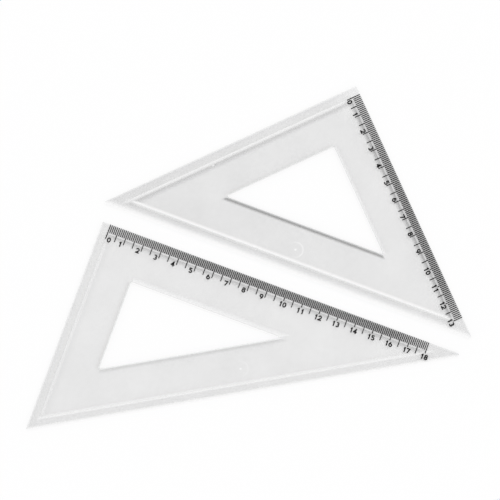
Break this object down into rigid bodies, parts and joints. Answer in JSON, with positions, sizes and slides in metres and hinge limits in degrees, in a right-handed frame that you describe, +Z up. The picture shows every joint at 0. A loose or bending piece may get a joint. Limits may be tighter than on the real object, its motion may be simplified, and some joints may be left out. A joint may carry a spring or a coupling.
{
  "type": "drafting triangle set",
  "caption": "Clear plastic drafting triangles, 45 and 30/60 degree, with triangular windows, bevelled rims and printed centimetre scales, lying flat side by side.",
  "frame": {"origin": "on the table under the middle of the pair's bounding box", "axes": "+X along the long leg of the 30/60 square away from its right angle, +Y from the 30/60 square to the 45 square, +Z up from the table"},
  "size_m": [0.207, 0.2312, 0.0021],
  "materials": {
    "clear_plastic": "clear, slightly milky moulded plastic, glossy",
    "mark_ink": "black printed ink, satin",
    "numeral_ink": "black printed ink, satin"
  },
  "bodies": {
    "square_60": {"set_square_60_plate": "clear_plastic", "set_square_60_millimetre_marks": "mark_ink", "set_square_60_half_centimetre_marks": "mark_ink", "set_square_60_centimetre_marks": "mark_ink", "set_square_60_numerals": "numeral_ink"},
    "square_45": {"set_square_45_plate": "clear_plastic", "set_square_45_millimetre_marks": "mark_ink", "set_square_45_half_centimetre_marks": "mark_ink", "set_square_45_centimetre_marks": "mark_ink", "set_square_45_numerals": "numeral_ink"}
  },
  "joints": [
    {"name": "lift_45", "type": "slide", "parent": "square_60", "child": "square_45", "axis": [0, 0, 1], "range_m": [0, 0.1]}
  ]
}
